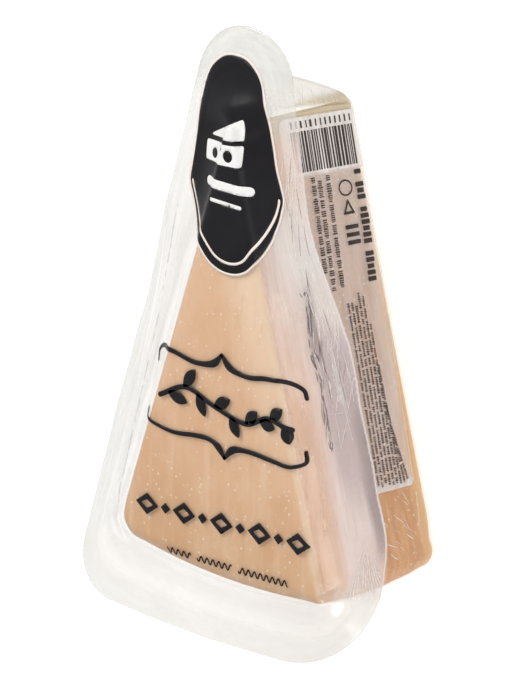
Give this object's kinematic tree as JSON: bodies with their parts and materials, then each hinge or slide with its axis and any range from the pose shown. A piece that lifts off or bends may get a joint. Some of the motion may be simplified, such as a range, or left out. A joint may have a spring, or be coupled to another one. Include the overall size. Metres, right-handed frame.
{
  "type": "vacuum-packed parmesan wedge",
  "caption": "Wedge of hard cheese in a clear formed vacuum pack with a printed lid film, a wide sealed skirt and a sticker on one cut side.",
  "frame": {"origin": "on the back face, on the pack's long axis, midway between the two ends of the skirt", "axes": "+Z out of the printed face, +Y from the rind to the tip, +X to the right of the face"},
  "size_m": [0.0982, 0.1548, 0.0443],
  "materials": {
    "cheese": "waxy cut cheese, satin under film",
    "pocket_film": "clear glossy film, skin tight",
    "lid_film": "clear glossy film with black print",
    "label": "clear sticker with a milky panel and fine dark print"
  },
  "bodies": {
    "root": {"cheese_wedge": "cheese", "pocket_film": "pocket_film", "lid_film": "lid_film", "side_label": "label"}
  },
  "joints": []
}
